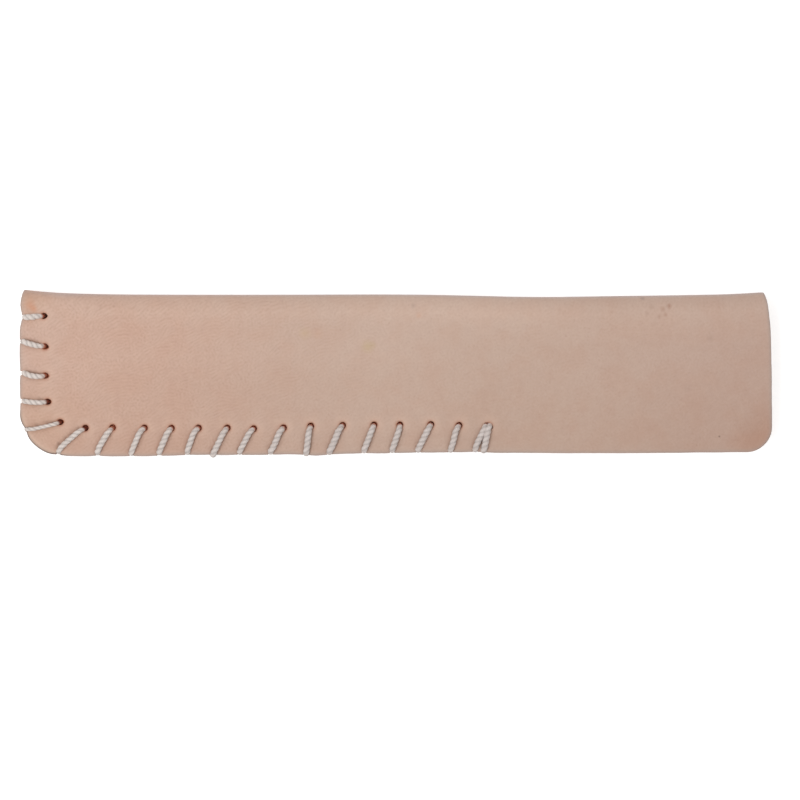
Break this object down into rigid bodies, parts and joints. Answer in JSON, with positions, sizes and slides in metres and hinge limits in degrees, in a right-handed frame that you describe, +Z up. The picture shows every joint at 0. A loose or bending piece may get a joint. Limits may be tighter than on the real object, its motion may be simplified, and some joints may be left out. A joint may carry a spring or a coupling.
{
  "type": "pen sleeve",
  "caption": "Slim folded leather sleeve for one pen, whip-stitched with white cord over its closed end and partway along one long edge, open at the other end.",
  "frame": {"origin": "centre of the bounding box in plan, on the surface that the sleeve lies on", "axes": "+X along the sleeve towards its open mouth, +Y towards the fold, +Z up through the front panel"},
  "size_m": [0.171, 0.038, 0.0086],
  "materials": {
    "leather": "natural undyed, smooth grain outside, raw cut edges",
    "cord": "matte twisted three-ply cord"
  },
  "bodies": {
    "root": {"leather_body": "leather", "stitching_cord": "cord", "start_knot": "cord", "end_knot": "cord"}
  },
  "joints": []
}
